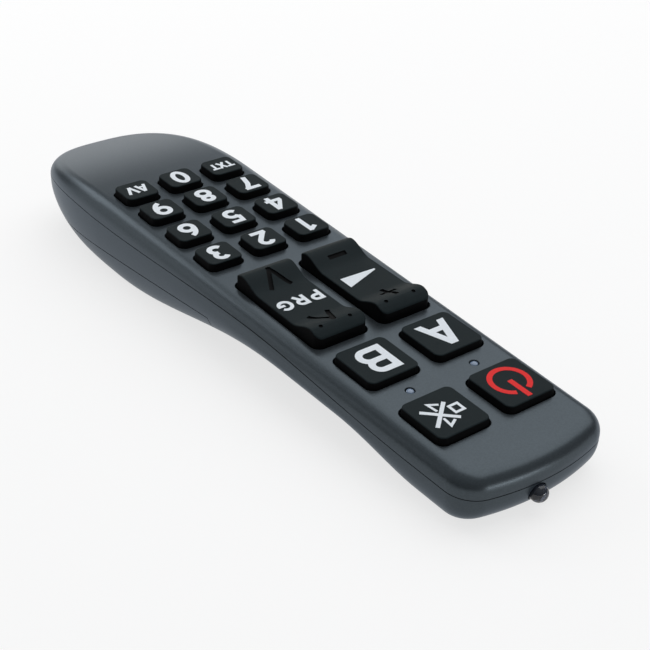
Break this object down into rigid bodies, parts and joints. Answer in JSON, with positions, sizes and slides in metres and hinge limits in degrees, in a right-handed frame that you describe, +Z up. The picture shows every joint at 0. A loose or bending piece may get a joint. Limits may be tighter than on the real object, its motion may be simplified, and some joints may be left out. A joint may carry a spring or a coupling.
{
  "type": "universal remote control",
  "caption": "Slim remote control with rubber number keys, large square keys and tilting rockers on a flat deck, a sliding battery door under the deep tail and an infrared lamp at the nose.",
  "frame": {"origin": "centre of the flat pad under the battery door, on the table", "axes": "+Y towards the lamp at the nose, +Z up through the keys, +X to the user's right"},
  "size_m": [0.0572, 0.2329, 0.0294],
  "materials": {
    "case": "satin paint",
    "key_rubber": "satin",
    "carbon": "matt",
    "board": "solder mask",
    "lamp": "clear dark resin",
    "window": "frosted",
    "indicator": "clear resin",
    "chip": "moulded",
    "resonator": "dipped",
    "capacitor": "sleeved",
    "contact": "nickel plated",
    "cell": "printed jacket",
    "screw": "zinc plated"
  },
  "bodies": {
    "case": {"top_shell": "case", "bottom_shell": "case", "keypad_mat": "key_rubber", "circuit_board": "board", "ir_lamp": "lamp", "indicator_window_left": "window", "indicator_window_right": "window", "indicator_chip_left": "indicator", "indicator_chip_right": "indicator", "controller_chip": "chip", "resonator": "resonator", "capacitor": "capacitor", "contact_plus": "contact", "contact_minus": "contact", "contact_link": "contact", "battery_cell_left": "cell", "battery_cell_right": "cell", "case_screws": "screw"},
    "battery_door": {"battery_door": "case"},
    "key_txt": {"key_txt": "key_rubber", "key_txt_pill": "carbon"},
    "key_0": {"key_0": "key_rubber", "key_0_pill": "carbon"},
    "key_av": {"key_av": "key_rubber", "key_av_pill": "carbon"},
    "key_7": {"key_7": "key_rubber", "key_7_pill": "carbon"},
    "key_8": {"key_8": "key_rubber", "key_8_pill": "carbon"},
    "key_9": {"key_9": "key_rubber", "key_9_pill": "carbon"},
    "key_4": {"key_4": "key_rubber", "key_4_pill": "carbon"},
    "key_5": {"key_5": "key_rubber", "key_5_pill": "carbon"},
    "key_6": {"key_6": "key_rubber", "key_6_pill": "carbon"},
    "key_1": {"key_1": "key_rubber", "key_1_pill": "carbon"},
    "key_2": {"key_2": "key_rubber", "key_2_pill": "carbon"},
    "key_3": {"key_3": "key_rubber", "key_3_pill": "carbon"},
    "key_a": {"key_a": "key_rubber", "key_a_pill": "carbon"},
    "key_b": {"key_b": "key_rubber", "key_b_pill": "carbon"},
    "key_power": {"key_power": "key_rubber", "key_power_pill": "carbon"},
    "key_mute": {"key_mute": "key_rubber", "key_mute_pill": "carbon"},
    "rocker_volume": {"rocker_volume": "key_rubber", "rocker_volume_pills": "carbon"},
    "rocker_program": {"rocker_program": "key_rubber", "rocker_program_pills": "carbon"}
  },
  "joints": [
    {"name": "key_txt_press", "type": "slide", "parent": "case", "child": "key_txt", "axis": [0, -0.0689, -0.9976], "range_m": [0, 0.0009], "stiffness_N_per_m": 800},
    {"name": "key_0_press", "type": "slide", "parent": "case", "child": "key_0", "axis": [0, -0.0689, -0.9976], "range_m": [0, 0.0009], "stiffness_N_per_m": 800},
    {"name": "key_av_press", "type": "slide", "parent": "case", "child": "key_av", "axis": [0, -0.0689, -0.9976], "range_m": [0, 0.0009], "stiffness_N_per_m": 800},
    {"name": "key_7_press", "type": "slide", "parent": "case", "child": "key_7", "axis": [0, -0.0689, -0.9976], "range_m": [0, 0.0009], "stiffness_N_per_m": 800},
    {"name": "key_8_press", "type": "slide", "parent": "case", "child": "key_8", "axis": [0, -0.0689, -0.9976], "range_m": [0, 0.0009], "stiffness_N_per_m": 800},
    {"name": "key_9_press", "type": "slide", "parent": "case", "child": "key_9", "axis": [0, -0.0689, -0.9976], "range_m": [0, 0.0009], "stiffness_N_per_m": 800},
    {"name": "key_4_press", "type": "slide", "parent": "case", "child": "key_4", "axis": [0, -0.0689, -0.9976], "range_m": [0, 0.0009], "stiffness_N_per_m": 800},
    {"name": "key_5_press", "type": "slide", "parent": "case", "child": "key_5", "axis": [0, -0.0689, -0.9976], "range_m": [0, 0.0009], "stiffness_N_per_m": 800},
    {"name": "key_6_press", "type": "slide", "parent": "case", "child": "key_6", "axis": [0, -0.0689, -0.9976], "range_m": [0, 0.0009], "stiffness_N_per_m": 800},
    {"name": "key_1_press", "type": "slide", "parent": "case", "child": "key_1", "axis": [0, -0.0689, -0.9976], "range_m": [0, 0.0009], "stiffness_N_per_m": 800},
    {"name": "key_2_press", "type": "slide", "parent": "case", "child": "key_2", "axis": [0, -0.0689, -0.9976], "range_m": [0, 0.0009], "stiffness_N_per_m": 800},
    {"name": "key_3_press", "type": "slide", "parent": "case", "child": "key_3", "axis": [0, -0.0689, -0.9976], "range_m": [0, 0.0009], "stiffness_N_per_m": 800},
    {"name": "key_a_press", "type": "slide", "parent": "case", "child": "key_a", "axis": [0, -0.0689, -0.9976], "range_m": [0, 0.0009], "stiffness_N_per_m": 800},
    {"name": "key_b_press", "type": "slide", "parent": "case", "child": "key_b", "axis": [0, -0.0689, -0.9976], "range_m": [0, 0.0009], "stiffness_N_per_m": 800},
    {"name": "key_power_press", "type": "slide", "parent": "case", "child": "key_power", "axis": [0, -0.0689, -0.9976], "range_m": [0, 0.0009], "stiffness_N_per_m": 800},
    {"name": "key_mute_press", "type": "slide", "parent": "case", "child": "key_mute", "axis": [0, -0.0689, -0.9976], "range_m": [0, 0.0009], "stiffness_N_per_m": 800},
    {"name": "rocker_volume_tilt", "type": "hinge", "parent": "case", "child": "rocker_volume", "pos_m": [-0.0112, 0.07538, 0.01738], "axis": [1, 0, 0], "range_deg": [-2, 2], "stiffness_Nm_per_rad": 0.4},
    {"name": "rocker_program_tilt", "type": "hinge", "parent": "case", "child": "rocker_program", "pos_m": [0.0112, 0.07538, 0.01738], "axis": [1, 0, 0], "range_deg": [-2, 2], "stiffness_Nm_per_rad": 0.4},
    {"name": "battery_door_slide", "type": "slide", "parent": "case", "child": "battery_door", "axis": [0, -0.9994, -0.0358], "range_m": [0, 0.028]}
  ]
}
